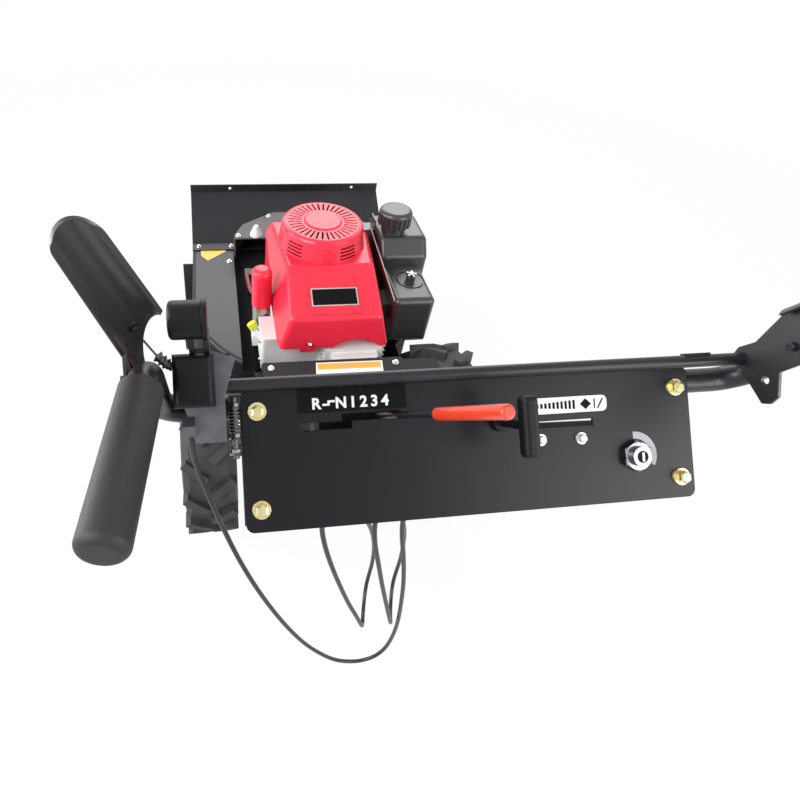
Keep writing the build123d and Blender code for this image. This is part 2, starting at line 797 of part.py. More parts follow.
def fuel_tank():
    outline = (
        (tank_rear, platform_top), (tank_rear, tank_top - tank_slope),
        (neck_place[1] - neck_radius - over, tank_top), (tank_front, tank_top), (tank_front, platform_top),
    )
    tank = side_prism(outline, (tank_left, tank_right))
    tank = fillet(tank.edges().filter_by(lambda edge: edge.center().Z > platform_top + over), tank_corner)
    return tank + post(neck_place, neck_radius, tank_top - over, tank_top + neck_height)


def fuel_cap():
    bottom = tank_top + neck_height
    cap = post((0, 0), fuel_cap_radius, bottom, bottom + fuel_cap_height)
    cap = fillet(cap.edges().group_by(Axis.Z)[-1], fuel_cap_corner)
    flute_top = bottom + fuel_cap_height - fuel_cap_corner
    flute = post((fuel_cap_radius, 0), fuel_cap_flute_radius, bottom - over, flute_top)
    cap -= [flute.rotate(Axis.Z, 360 / fuel_cap_flutes * i) for i in range(fuel_cap_flutes)]
    return Pos(*neck_place, 0) * cap


def air_cleaner():
    box = block((air_box_left, air_box_right), (air_box_rear, tank_rear), air_box_z)
    rear_edges = box.edges().group_by(Axis.Y)[0]
    top_edges = box.edges().group_by(Axis.Z)[-1].filter_by(Axis.Y)
    box = fillet(rear_edges + top_edges, air_box_corner)
    top = air_box_z[1]
    lid = air_lid_radius - air_lid_groove
    ring = post(air_lid_place, air_lid_radius, top - air_lid_groove, top + over)
    box -= ring - post(air_lid_place, lid, top - 2 * air_lid_groove, top + 2 * over)
    box += post(air_lid_place, air_knob_radius, top - over, top + air_knob_height)
    duct = block((shroud_x, air_box_left + over), duct_y, duct_z)
    return box + (duct - engine_shroud())


def control_bracket():
    """Bent plate on the shroud beside the filler cap."""
    foot = block(control_x, control_y, (shroud_top, shroud_top + control_sheet))
    side_x = (control_x[1] - control_sheet, control_x[1])
    return foot + block(side_x, control_y, (shroud_top, shroud_top + control_height))


def muffler():
    rear = crank_y + case_front
    stub_x = (engine_x - muffler_half / 3, engine_x + muffler_half / 3)
    body_y = (rear + muffler_stub, rear + muffler_stub + muffler_depth)
    body = block((engine_x - muffler_half, engine_x + muffler_half), body_y, muffler_z)
    body = fillet(body.edges().filter_by(Axis.X), muffler_corner)
    middle = (muffler_z[0] + muffler_z[1]) / 2
    return body + block(stub_x, (rear, body_y[0] + over), (middle - muffler_corner, middle + muffler_corner))


def behind_panel(solid, n):
    """Keep the part of a solid that lies behind a plane parallel to the panel."""
    return solid - console * Pos(0, 0, n + cutter / 2) * Box(cutter, cutter, cutter)


def upright():
    x = (rail_outer, rail_outer + upright_side)
    foot = Vector((x[0] + x[1]) / 2, upright_foot[0], well_floor + upright_foot[1])
    aim = Vector(post_x + upright_side / 2, console_y, console_z)
    lower = Plane(origin=foot, x_dir=(1, 0, 0), z_dir=aim - foot)
    bar = extrude(lower * Rectangle(upright_side, upright_side), (aim - foot).length + upright_side)
    return behind_panel(bar - frame_rail(), -panel_thick - bracket_plate - upright_setback)


def console_bracket():
    back = -panel_thick - bracket_plate
    web_x = post_x + upright_side
    plate_v = (-bracket_half_height, bracket_half_height)
    plate = block((post_x, bracket_outer), plate_v, (back, -panel_thick))
    web_v = (-bracket_half_height, bracket_web_top)
    web = block((web_x, web_x + bracket_plate), web_v, (-bracket_depth, back))
    body = plate + web
    for v in (-panel_bolt_v, panel_bolt_v):
        body -= Pos(panel_bolt_u, v, back) * Cylinder(panel_bolt_radius, bracket_depth)
    body -= Pos(*key_place, back) * Cylinder(key_barrel_radius + bracket_key_gap, bracket_depth)
    hole = Pos(web_x, bar_v, bar_n) * Rot(0, 90, 0) * Cylinder(bar_radius + fit_gap, 4 * bracket_plate)
    return console * (body - hole)


def handle_cross_tube():
    reach = bar_half - bar_bend - over
    return round_bar((-reach, bar_centre.Y, bar_centre.Z), (reach, bar_centre.Y, bar_centre.Z), bar_radius)


def handle_arm(side):
    """Tube from the cross tube up to the grip, with the lever's pin on its left; side 1 is the right."""
    start = (bar_half - bar_bend - over, bar_centre.Y, bar_centre.Z)
    corner = (bar_half, bar_centre.Y, bar_centre.Z)
    path = FilletPolyline(start, corner, grip_root, grip_end, radius=[bar_bend, horn_bend])
    tube = sweep(Plane(origin=start, z_dir=(1, 0, 0)) * Circle(bar_radius), path)
    if side < 0:
        tube = mirrored(tube)
    pin_end = cheek_left(side) - lever_pin_proud
    return tube + round_bar((side * bar_half, *lever_pivot), (pin_end, *lever_pivot), lever_pin_radius)


def grip():
    end = Vector(*grip_end)
    back = (Vector(*grip_root) - end).normalized()
    outer = round_bar((end - back * grip_cap), (end + back * grip_length), grip_radius)
    bore = round_bar(end, (end + back * (grip_length + over)), bar_radius + fit_gap)
    rim_edges = outer.edges().sort_by(Axis.Y)
    return fillet([rim_edges[0]], grip_corner) - bore


def console_panel():
    plate = extrude(RectangleRounded(panel_width, panel_height, panel_corner), -panel_thick)
    slots = ((gate_low, gate_height), (gate_high, gate_height), (throttle_slot, throttle_slot_height))
    for (start, end, v), height in slots:
        plate -= block((start, end), (v - height / 2, v + height / 2), (-over, over))
    holes = [(tee_place, tee_stem_radius + fit_gap), (key_place, key_barrel_radius + fit_gap)]
    for u in (-panel_bolt_u, panel_bolt_u):
        for v in (-panel_bolt_v, panel_bolt_v):
            holes.append(((u, v), panel_bolt_radius))
    for place, radius in holes:
        plate -= post(place, radius, -over, over)
    return console * plate


def shift_line():
    foot = Vector(*shift_foot, 0)
    tip = Vector(*shift_tip, shift_reach)
    lean = (tip - foot).normalized()
    return foot - lean * (shift_frame_depth / lean.Z), tip, lean


def shift_lever():
    start, tip, lean = shift_line()
    foot = start - lean * over
    rod = round_bar(foot, tip, shift_radius)
    below = Pos(0, 0, -shift_frame_depth - cutter / 2) * Box(cutter, cutter, cutter)
    return console * (rod - below)


def shift_grip():
    tip, lean = shift_line()[1:]
    outer = round_bar((tip - lean * shift_grip_length), (tip + lean * shift_grip_cap), shift_grip_radius)
    outer = fillet(outer.edges().group_by(Axis.Z)[-1], shift_grip_corner)
    bore = round_bar((tip - lean * (shift_grip_length + over)), tip, shift_radius + fit_gap)
    return console * (outer - bore)


def shift_frame():
    floor = (-shift_frame_depth - shift_frame_sheet, -shift_frame_depth)
    base = block(shift_frame_u, shift_frame_v, floor)
    for u in (shift_frame_u[0], shift_frame_u[1] - shift_frame_sheet):
        base += block((u, u + shift_frame_sheet), shift_frame_v, (floor[0], -panel_thick))
    return console * base


def tee_handle():
    stem = Pos(*tee_place, (tee_reach - tee_tail) / 2) * Cylinder(tee_stem_radius, tee_reach + tee_tail)
    nut = Pos(*tee_place, tee_nut_height / 2) * Cylinder(tee_nut_radius, tee_nut_height)
    bar = Pos(*tee_place, tee_reach + tee_bar[2] / 2) * Box(*tee_bar)
    bar = fillet(bar.edges(), tee_corner)
    return console * (stem + nut + bar)


def key_switch():
    nut = Pos(*key_place, key_nut_height / 2) * Cylinder(key_nut_radius, key_nut_height)
    length = key_tail + key_nut_height + key_face_height
    barrel = Pos(*key_place, length / 2 - key_tail) * Cylinder(key_barrel_radius, length)
    return console * (nut + barrel)


def cheek_left(side):
    """Left face of a lever's cheek plate, which lies against the left face of the handle tube."""
    return side * bar_half - bar_radius - lever_gap - lever_sheet


def lever_blade(notch_side, root):
    """Scoop of the right hand lever: part of a tapering tube, with a rounded tip and a root that a notch
    narrows from one side."""
    base = Vector(*lever_base)
    run = Vector(*lever_tip) - base
    along = run.normalized()
    facing = Vector(-sin(radians(lever_toe)), -cos(radians(lever_toe)), 0)
    facing = (facing - along * facing.dot(along)).normalized()
    local = Plane(origin=base, x_dir=(facing * -1).cross(along), z_dir=along)
    taper = (lever_base_radius - lever_tip_radius) / run.length
    length = run.length + lever_end + root
    foot = lever_base_radius + taper * root
    tip = foot - taper * length
    middle = Pos(0, -lever_centre, length / 2 - root)
    shell = middle * Cone(foot, tip, length) - middle * Cone(foot - lever_sheet, tip - lever_sheet, length)
    shell -= Pos(0, -cutter / 2, 0) * Box(cutter, cutter, cutter)
    outline = Pos(0, (run.length - root) / 2) * Rectangle(cutter, run.length + root)
    outline += Pos(0, run.length) * Circle(lever_end)
    shell &= Plane.XZ * Pos(0, 0, -cutter / 2) * extrude(outline, cutter)
    notch = Pos(lever_notch_x, -lever_notch_drop) * Circle(lever_notch)
    cut = Plane.XZ * Pos(0, 0, -cutter / 2) * extrude(notch, cutter)
    if notch_side < 0:
        cut = mirrored(cut)
    return local * (shell - cut)


def lever(side):
    """Hand lever for the right, side 1, or the left, side -1: cheek plate with its holes, and the blade."""
    blade = lever_blade(side, lever_root_right if side > 0 else lever_root_left)
    if side < 0:
        blade = mirrored(blade)
    left = cheek_left(side)
    cheek = side_prism(lever_cheek, (left, left + lever_sheet))
    holes = [(lever_pivot, lever_pin_radius + fit_gap), (lever_hole, lever_hole_radius)]
    if side > 0:
        holes.append(((rod_centre.Y, rod_centre.Z), rod_radius + fit_gap))
    for place, radius in holes:
        cheek -= round_bar((left - over, *place), (left + lever_sheet + over, *place), radius)
    return blade + cheek


def lever_rod():
    right = cheek_left(1) + lever_sheet
    return round_bar((rod_left, rod_centre.Y, rod_centre.Z), (right, rod_centre.Y, rod_centre.Z), rod_radius)


def latch_bracket():
    """Plate beside the console, a web holding the handle tube and the rod's end, and a cable's lug."""
    face = make_face(Polyline(*latch_plate, close=True))
    body = Pos(0, 0, latch_plate_n[0]) * extrude(face, latch_plate_n[1] - latch_plate_n[0])
    web = block(latch_web_u, latch_web_v, (latch_web_n, latch_plate_n[0] + over / 2))
    middle = latch_web_u[0]
    for v, n, radius in ((bar_v, bar_n, bar_radius), (rod_v, rod_n, rod_radius)):
        web -= round_bar((middle - over, v, n), (middle + 2 * over, v, n), radius + fit_gap)
    lug_x = (cable_a[0][0] - cable_lug / 2, cable_a[0][0] + cable_lug / 2)
    lug_y = (cable_a[0][1] - cable_lug / 2, cable_a[0][1] + cable_lug / 2)
    lug_z = (cable_a[0][2], cable_a[0][2] + cable_lug_height)
    return latch_place * (body + web) + block(lug_x, lug_y, lug_z)


def latch_box():
    n = (latch_plate_n[1], latch_plate_n[1] + latch_box_depth)
    body = block(latch_box_u, latch_box_v, n)
    return latch_place * fillet(body.edges().group_by(Axis.Z)[-1], latch_box_corner)


def latch_knob():
    place = Pos(*latch_knob_place) * Rot(0, 90, 0)
    knob = place * Cylinder(latch_knob_radius, latch_knob_length)
    knob = fillet(knob.edges(), latch_knob_corner)
    rim = place * Pos(0, 0, latch_knob_length / 2) * Cylinder(latch_rim_radius, latch_rim_length)
    return latch_place * (knob + rim)


def latch_stalk():
    """Two plates on a foot, from the box up to the knob."""
    top = latch_box_v[1]
    foot = Vector(0, top, latch_stalk_n)
    head = Vector(0, *latch_knob_place[1:])
    aim = (head - foot).normalized()
    length = (head - foot).length + over
    local = Plane(origin=foot - aim * over, x_dir=(1, 0, 0), z_dir=aim)
    half = latch_stalk_width / 2
    foot_u = (latch_stalk_u[0][0], latch_stalk_u[1][1])
    stalk = block(foot_u, (top, top + latch_stalk_foot), (latch_stalk_n - half, latch_stalk_n + half))
    for u in latch_stalk_u:
        stalk += local * block(u, (-half, half), (0, length))
    stalk -= block((-cutter, cutter), (top - cutter, top), (-cutter, cutter))
    knob = Pos(*latch_knob_place) * Rot(0, 90, 0) * Cylinder(latch_rim_radius, 4 * latch_knob_length)
    return latch_place * (stalk - knob)


def cable_anchor():
    plate = block(anchor_x, (anchor_y - anchor_depth, anchor_y), (anchor_z, anchor_z + anchor_thick))
    return behind_panel(plate, -panel_thick)


def bend_radii(points):
    """Largest arc for each corner of a route, by its shorter run and its turn."""
    radii = []
    for a, b, c in zip(points, points[1:], points[2:]):
        first = Vector(*b) - Vector(*a)
        second = Vector(*c) - Vector(*b)
        turn = radians(first.get_angle(second))
        radii.append(bend_share * min(first.length, second.length) / tan(turn / 2))
    return radii


def cable(points):
    path = FilletPolyline(*points, radius=bend_radii(points))
    start = Plane(origin=points[0], z_dir=Vector(*points[1]) - Vector(*points[0]))
    return sweep(start * Circle(cable_radius), path)


def all_nodes():
    return {
        "deck": deck(),
        "front_guard": front_guard(),
        "belt_cover": belt_cover(),
        "cover_cap": cover_cap(),
        "skid_right": skid(),
        "skid_left": mirrored(skid()),
        "spindle_housing": spindle_housing(),
        "blade_bar": blade_bar(),
        "blade_spindle": blade_spindle(),
        "frame_rail_right": frame_rail(),
        "frame_rail_left": mirrored(frame_rail()),
        "engine_platform": engine_platform(),
        "rear_cover": rear_cover(),
        "transaxle": transaxle(),
        "engine_block": engine_block(),
        "head_cover": head_cover(),
        "engine_shroud": engine_shroud(),
        "recoil_cover": recoil_cover(),
        "starter_motor": starter_motor(),
        "starter_cover": starter_cover(),
        "dipstick": dipstick(),
        "fuel_tank": fuel_tank(),
        "fuel_cap": fuel_cap(),
        "air_cleaner": air_cleaner(),
        "control_bracket": control_bracket(),
        "muffler": muffler(),
        "half_axle_right": half_axle(),
        "half_axle_left": mirrored(half_axle()),
        "rim_right": rim(),
        "rim_left": mirrored(rim()),
        "tyre_right": tyre(),
        "tyre_left": mirrored(tyre()),
        "upright_right": upright(),
        "upright_left": mirrored(upright()),
        "console_bracket_right": console_bracket(),
        "console_bracket_left": mirrored(console_bracket()),
        "console_panel": console_panel(),
        "handle_cross_tube": handle_cross_tube(),
        "handle_arm_right": handle_arm(1),
        "handle_arm_left": handle_arm(-1),
        "grip_right": grip(),
        "grip_left": mirrored(grip()),
        "lever_right": lever(1),
        "lever_left": lever(-1),
        "lever_rod": lever_rod(),
        "shift_frame": shift_frame(),
        "shift_lever": shift_lever(),
        "shift_grip": shift_grip(),
        "tee_handle": tee_handle(),
        "key_switch": key_switch(),
        "latch_bracket": latch_bracket(),
        "latch_box": latch_box(),
        "latch_stalk": latch_stalk(),
        "latch_knob": latch_knob(),
        "cable_anchor": cable_anchor(),
        "cable_a": cable(cable_a),
        "cable_b": cable(cable_b),
        "cable_c": cable(cable_c),
    }


def main():
    os.makedirs("parts", exist_ok=True)
    nodes = all_nodes()
    boxes = [nodes[name].bounding_box() for name in nodes if not name.startswith("cable_")]
    middle_y = (min(box.min.Y for box in boxes) + max(box.max.Y for box in boxes)) / 2
    print("middle of the length from the axle", round(middle_y, 4))
    for name, solid in nodes.items():
        export_step(Pos(0, -middle_y, 0) * solid, f"parts/{name}.step")


main()
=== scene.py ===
import json
import math

import bmesh
import bpy
from mathutils import Matrix, Vector


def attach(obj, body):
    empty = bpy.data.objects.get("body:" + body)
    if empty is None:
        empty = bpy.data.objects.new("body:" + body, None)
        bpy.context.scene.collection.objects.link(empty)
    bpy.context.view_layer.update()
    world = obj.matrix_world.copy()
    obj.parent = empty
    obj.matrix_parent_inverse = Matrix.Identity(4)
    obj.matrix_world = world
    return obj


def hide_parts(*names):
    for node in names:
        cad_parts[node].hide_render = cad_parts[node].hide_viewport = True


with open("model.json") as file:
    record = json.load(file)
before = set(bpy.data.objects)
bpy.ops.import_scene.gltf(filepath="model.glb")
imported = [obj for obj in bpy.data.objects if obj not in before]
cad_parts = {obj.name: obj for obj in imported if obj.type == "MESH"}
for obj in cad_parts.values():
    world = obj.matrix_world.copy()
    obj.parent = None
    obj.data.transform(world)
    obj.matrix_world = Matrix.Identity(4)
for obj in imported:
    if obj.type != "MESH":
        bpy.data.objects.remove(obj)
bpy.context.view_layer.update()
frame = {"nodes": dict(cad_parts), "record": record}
scene = bpy.context.scene
middle_y = 143.6136


def place(x, y, z):
    """Point of the layout over the axle, in millimetres, as a point of the frame in metres."""
    return Vector((x / 1000, (y - middle_y) / 1000, z / 1000))


# Camera at the operator's place behind the machine
eye = place(-243.2, -827.3, 1268.5)
look = Vector((0.120, 0.715, -0.689)).normalized()
right = Vector((0.992, -0.119, 0.049))
right = (right - look * right.dot(look)).normalized()
up = right.cross(look)
camera_data = bpy.data.cameras.new("camera")
camera_data.sensor_width = 36.0
camera_data.lens = 24.85
camera_data.shift_x = 0.138
camera_data.shift_y = -0.053
camera_data.clip_start = 0.01
camera = bpy.data.objects.new("camera", camera_data)
scene.collection.objects.link(camera)
axes = Matrix((right, up, -look)).transposed().to_4x4()
camera.matrix_world = Matrix.Translation(eye) @ axes
scene.camera = camera

# Cables: routes over the axle in millimetres
cable_radius = 2.75
cable_routes = {
    "cable_a": ((-275.5, -510, 876), (-275.5, -510, 838), (-266, -515, 790), (-252, -524, 732),
                (-237, -532, 676), (-219, -538, 617), (-197, -543, 554), (-172, -547, 490),
                (-145, -549, 430), (-117, -550, 384), (-94, -550, 353), (-70, -550, 338),
                (-48, -550, 337), (-30, -550, 351), (-20, -550, 381), (-17, -550, 424),
                (-19, -550, 480), (-27, -550, 546), (-37, -550, 615), (-50, -549, 680),
                (-62, -547, 732), (-66, -546, 768), (-66, -546, 799)),
    "cable_b": ((-153, -548, 799), (-153, -548, 765), (-146, -552, 725), (-134, -555, 680),
                (-119, -556, 630), (-103, -557, 580), (-87, -558, 538), (-76, -557, 504),
                (-70, -550, 484), (-64, -533, 472), (-58, -513, 472), (-53, -496, 484),
                (-50, -489, 504), (-50, -488, 538), (-55, -490, 582), (-66, -497, 634),
                (-82, -507, 684), (-100, -522, 728), (-119, -541, 768), (-119, -541, 799)),
    "cable_c": ((-97, -548, 799), (-97, -548, 765), (-92, -552, 725), (-81, -555, 680),
                (-69, -556, 630), (-56, -557, 580), (-45, -558, 538), (-36, -557, 504),
                (-30, -550, 484), (-24, -533, 472), (-18, -513, 472), (-13, -496, 484),
                (-10, -489, 504), (-10, -488, 538), (-15, -490, 582), (-25, -497, 634),
                (-40, -507, 684), (-59, -522, 728), (-79, -541, 768), (-79, -541, 799)),
}


def smooth_line(name, points, depth, steps=12):
    """Curve data for a round tube on one smooth line; depth is the radius where a point's own is 1."""
    curve = bpy.data.curves.new(name, "CURVE")
    curve.dimensions = "3D"
    curve.bevel_depth = depth
    curve.bevel_resolution = 4
    curve.resolution_u = steps
    curve.use_fill_caps = True
    spline = curve.splines.new("NURBS")
    spline.points.add(len(points) - 1)
    for point, spot in zip(spline.points, points):
        point.co = (*spot, 1)
    spline.order_u = 3
    spline.use_endpoint_u = True
    return curve


cables = {}
for name, route in cable_routes.items():
    curve = smooth_line(name + "_line", [place(*spot) for spot in route], depth=1.0, steps=6)
    for point in curve.splines[0].points:
        point.radius = cable_radius / 1000
    cable = bpy.data.objects.new(name + "_line", curve)
    scene.collection.objects.link(cable)
    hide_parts(name)
    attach(cable, "chassis")
    cables[name] = cable


# Materials
def linear(value):
    value /= 255
    return value / 12.92 if value <= 0.04045 else ((value + 0.055) / 1.055) ** 2.4


def rgb(red, green, blue):
    """Screen colour from 0 to 255 as a linear colour."""
    return (linear(red), linear(green), linear(blue), 1.0)


def new_material(name, metallic=0.0, roughness=0.5, **sockets):
    material = bpy.data.materials.new(name)
    material.use_nodes = True
    shader = material.node_tree.nodes["Principled BSDF"]
    shader.inputs["Metallic"].default_value = metallic
    shader.inputs["Roughness"].default_value = roughness
    for socket, value in sockets.items():
        shader.inputs[socket.replace("_", " ")].default_value = value
    return material


def node(material, kind, **inputs):
    made = material.node_tree.nodes.new(kind)
    for socket, value in inputs.items():
        made.inputs[socket.replace("_", " ")].default_value = value
    return made


def join(material, source, output, target, socket):
    material.node_tree.links.new(source.outputs[output], target.inputs[socket])


def ramp(material, source, output, stops):
    """Colour ramp over a value, from (place, colour) stops."""
    made = node(material, "ShaderNodeValToRGB")
    join(material, source, output, made, "Fac")
    for element, (spot, colour) in zip(made.color_ramp.elements, stops):
        element.position = spot
        element.color = colour
    return made


def grey(value):
    return (value, value, value, 1.0)


def noise(material, scale, detail, stretch=None):
    """Noise in the frame's own metres."""
    where = node(material, "ShaderNodeTexCoord")
    made = node(material, "ShaderNodeTexNoise", Scale=scale, Detail=detail)
    if stretch is None:
        join(material, where, "Object", made, "Vector")
    else:
        mapping = node(material, "ShaderNodeMapping", Scale=stretch)
        join(material, where, "Object", mapping, "Vector")
        join(material, mapping, "Vector", made, "Vector")
    return made


def surface(name, dark, pale, metallic=0.0, roughness=(0.4, 0.5), grain=(900.0, 0.15, 0.0004), patch=9.0,
            edge=0.0015, stretch=None, **sockets):
    """Surface with a slow drift of colour, grain in gloss and relief, and softened edges.

    Grain is a noise scale, a strength and a height in metres; patch is the drift's noise scale.
    """
    material = new_material(name, metallic, **sockets)
    shader = material.node_tree.nodes["Principled BSDF"]
    drift = noise(material, patch, detail=5.0)
    tint = ramp(material, drift, "Fac", ((0.35, dark), (0.68, pale)))
    join(material, tint, "Color", shader, "Base Color")
    grain_scale, grain_strength, grain_height = grain
    fine = noise(material, grain_scale, detail=3.0, stretch=stretch)
    gloss = ramp(material, fine, "Fac", ((0.3, grey(roughness[0])), (0.7, grey(roughness[1]))))
    join(material, gloss, "Color", shader, "Roughness")
    relief = node(material, "ShaderNodeBump", Strength=grain_strength, Distance=grain_height)
    join(material, fine, "Fac", relief, "Height")
    if edge:
        soft = node(material, "ShaderNodeBevel", Radius=edge)
        soft.samples = 4
        join(material, soft, "Normal", relief, "Normal")
    join(material, relief, "Normal", shader, "Normal")
    return material


def painted_well_shade(material, levels, colours, roughness):
    """Painted shade: colour and gloss that change between two heights, so a deep well is painted dark and
    dull as the shade that falls in it.
    """
    shader = material.node_tree.nodes["Principled BSDF"]
    where = node(material, "ShaderNodeTexCoord")
    split = node(material, "ShaderNodeSeparateXYZ")
    join(material, where, "Object", split, "Vector")
    spread = node(material, "ShaderNodeMapRange", From_Min=levels[0], From_Max=levels[1])
    join(material, split, "Z", spread, "Value")
    tint = ramp(material, spread, "Result", ((0.0, colours[0]), (1.0, colours[1])))
    join(material, tint, "Color", shader, "Base Color")
    gloss = ramp(material, spread, "Result", ((0.0, grey(roughness[0])), (1.0, grey(roughness[1]))))
    join(material, gloss, "Color", shader, "Roughness")


plated_grain = (700.0, 0.05, 0.0002)
black_coat = surface("black_coat", rgb(25, 23, 28), rgb(33, 31, 36), roughness=(0.28, 0.4),
                     Specular_IOR_Level=0.35)
console_coat = surface("console_coat", rgb(10, 8, 14), rgb(14, 12, 18), roughness=(0.32, 0.4),
                       Specular_IOR_Level=0.24)
dark_coat = surface("dark_coat", rgb(17, 14, 17), rgb(23, 20, 23), roughness=(0.36, 0.46),
                    Specular_IOR_Level=0.16)
# Painted shade: near-black, dull paint standing in for shade, on the engine platform deep in the well and
# on the fillings in the recoil cover
shade_black = surface("shade_black", rgb(6, 6, 6), rgb(10, 10, 10), roughness=(0.8, 0.95), edge=0.0,
                    Specular_IOR_Level=0.08)
lever_coat = surface("lever_coat", rgb(28, 25, 29), rgb(36, 33, 37), roughness=(0.36, 0.46),
                     Specular_IOR_Level=0.5, Coat_Weight=0.25, Coat_Roughness=0.3)
deck_coat = surface("deck_coat", rgb(30, 28, 33), rgb(38, 36, 41), Specular_IOR_Level=0.4)
# Painted shade: the deck's well below its top is near-black and dull, standing in for the shade there
painted_well_shade(deck_coat, (0.244, 0.255), (rgb(7, 7, 7), rgb(30, 28, 33)), (0.95, 0.36))
grey_coat = surface("grey_coat", rgb(70, 67, 69), rgb(82, 79, 81), roughness=(0.36, 0.5),
                    Specular_IOR_Level=0.3)
rim_paint = surface("rim_paint", rgb(172, 172, 172), rgb(190, 190, 190), roughness=(0.35, 0.5))
red_paint = surface("red_paint", rgb(218, 40, 62), rgb(226, 46, 68), roughness=(0.27, 0.3),
                    grain=(300.0, 0.01, 0.0003), Specular_IOR_Level=0.35, Coat_Weight=0.1,
                    Coat_Roughness=0.08)
muffler_coat = surface("muffler_coat", rgb(40, 38, 37), rgb(56, 53, 50), roughness=(0.6, 0.75),
                       patch=20.0)
galvanised = surface("galvanised", rgb(84, 84, 90), rgb(106, 106, 112), metallic=0.7,
                     roughness=(0.36, 0.5), patch=40.0, edge=0.0008)
dull_steel = surface("dull_steel", rgb(74, 74, 77), rgb(104, 104, 107), metallic=0.9,
                     roughness=(0.22, 0.36), grain=plated_grain, edge=0.0005)
nickel = surface("nickel", rgb(128, 128, 131), rgb(152, 152, 155), metallic=1.0, roughness=(0.16, 0.26),
                 grain=plated_grain, edge=0.0008)
bright_zinc = surface("bright_zinc", rgb(200, 199, 194), rgb(220, 218, 212), metallic=1.0,
                      roughness=(0.18, 0.3), grain=plated_grain, edge=0.0006)
yellow_zinc = surface("yellow_zinc", rgb(206, 192, 136), rgb(226, 216, 172), metallic=1.0,
                      roughness=(0.18, 0.3), grain=plated_grain, patch=60.0, edge=0.0006)
cast_alloy = surface("cast_alloy", rgb(222, 220, 219), rgb(238, 236, 235), metallic=0.1,
                     roughness=(0.34, 0.5), grain=(420.0, 0.2, 0.0006))
gearbox_alloy = surface("gearbox_alloy", rgb(120, 121, 124), rgb(150, 151, 154), metallic=0.8,
                        roughness=(0.4, 0.6), grain=(420.0, 0.4, 0.0006))
cast_iron = surface("cast_iron", rgb(52, 51, 50), rgb(70, 68, 66), metallic=0.6, roughness=(0.5, 0.7),
                    grain=(380.0, 0.5, 0.0008))
steel = surface("steel", rgb(168, 168, 170), rgb(192, 192, 194), metallic=1.0, roughness=(0.25, 0.42),
                grain=(600.0, 0.2, 0.0003), stretch=(0.05, 1.0, 1.0))
tank_plastic = surface("tank_plastic", rgb(42, 41, 44), rgb(50, 49, 52), roughness=(0.26, 0.36),
                       grain=(1400.0, 0.15, 0.0004), edge=0.002, Specular_IOR_Level=0.6)
black_plastic = surface("black_plastic", rgb(12, 11, 14), rgb(17, 16, 19), roughness=(0.36, 0.46),
                        grain=(1400.0, 0.25, 0.0004), Specular_IOR_Level=0.2)
cap_plastic = surface("cap_plastic", rgb(212, 212, 210), rgb(228, 228, 226), roughness=(0.4, 0.5))
dipstick_plastic = surface("dipstick_plastic", rgb(196, 204, 30), rgb(210, 216, 50),
                           roughness=(0.25, 0.35))
grip_vinyl = surface("grip_vinyl", rgb(192, 50, 26), rgb(204, 60, 32), roughness=(0.22, 0.3),
                     grain=(500.0, 0.06, 0.0004), Coat_Weight=0.3, Coat_Roughness=0.12)
tyre_rubber = surface("tyre_rubber", rgb(30, 28, 30), rgb(46, 44, 46), roughness=(0.55, 0.75), patch=30.0,
                      grain=(700.0, 0.4, 0.0006), edge=0.002)
grip_rubber = surface("grip_rubber", rgb(32, 29, 33), rgb(41, 38, 42), roughness=(0.5, 0.62),
                      grain=(1200.0, 0.3, 0.0005), Specular_IOR_Level=0.4)
cable_sheath = surface("cable_sheath", rgb(18, 18, 19), rgb(26, 26, 27), roughness=(0.3, 0.4), edge=0.0)
hose_rubber = surface("hose_rubber", rgb(124, 34, 48), rgb(140, 46, 60), edge=0.0)
label_black = surface("label_black", rgb(6, 6, 8), rgb(9, 9, 11), roughness=(0.5, 0.6), edge=0.0,
                      Specular_IOR_Level=0.1)
label_white = surface("label_white", rgb(226, 226, 224), rgb(236, 236, 234), edge=0.0)
label_grey = surface("label_grey", rgb(150, 150, 156), rgb(176, 176, 180), roughness=(0.35, 0.45),
                     edge=0.0)
label_yellow = surface("label_yellow", rgb(226, 180, 62), rgb(236, 192, 78), roughness=(0.35, 0.45),
                       edge=0.0)
label_orange = surface("label_orange", rgb(226, 146, 34), rgb(234, 158, 46), edge=0.0)

by_slot = {
    "black_coat": black_coat, "grey_coat": grey_coat, "rim_paint": rim_paint, "red_paint": red_paint,
    "cast_alloy": cast_alloy, "gearbox_paint": gearbox_alloy, "cast_iron": cast_iron, "steel": steel,
    "zinc": bright_zinc, "muffler_black": muffler_coat, "tank_plastic": tank_plastic,
    "black_plastic": black_plastic, "cap_plastic": cap_plastic, "dipstick_plastic": dipstick_plastic,
    "grip_vinyl": grip_vinyl, "tyre": tyre_rubber, "grip_rubber": grip_rubber,
    "cable_sheath": cable_sheath,
}
by_node = {
    "console_panel": console_coat, "latch_bracket": galvanised, "rear_cover": dark_coat,
    # the engine platform takes the near-black painted shade of the well
    "deck": deck_coat, "engine_platform": shade_black, "shift_lever": black_coat, "key_switch": nickel,
    "lever_left": lever_coat, "lever_right": lever_coat, "control_bracket": dull_steel,
}
slot_of = {part["node"]: part["material_slot"] for part in frame["record"]["subparts"]}


def dress(obj, material):
    obj.data.materials.clear()
    obj.data.materials.append(material)


for name, obj in frame["nodes"].items():
    dress(obj, by_node.get(name, by_slot[slot_of[name]]))
for cable in cables.values():
    dress(cable, cable_sheath)

# Finishes of the small pieces: a material and the record's slot
bright = (bright_zinc, "zinc")
yellow = (yellow_zinc, "zinc")
dull = (dull_steel, "zinc")
silver = (nickel, "zinc")
plated = (galvanised, "zinc")
drawn_wire = (steel, "steel")
coated = (black_coat, "black_coat")
moulded = (black_plastic, "black_plastic")
shadow = (shade_black, "black_plastic")
black_print = (label_black, "black_plastic")
white_print = (label_white, "cap_plastic")
grey_print = (label_grey, "cap_plastic")
yellow_print = (label_yellow, "dipstick_plastic")
orange_print = (label_orange, "grip_vinyl")
red_hose = (hose_rubber, "grip_vinyl")

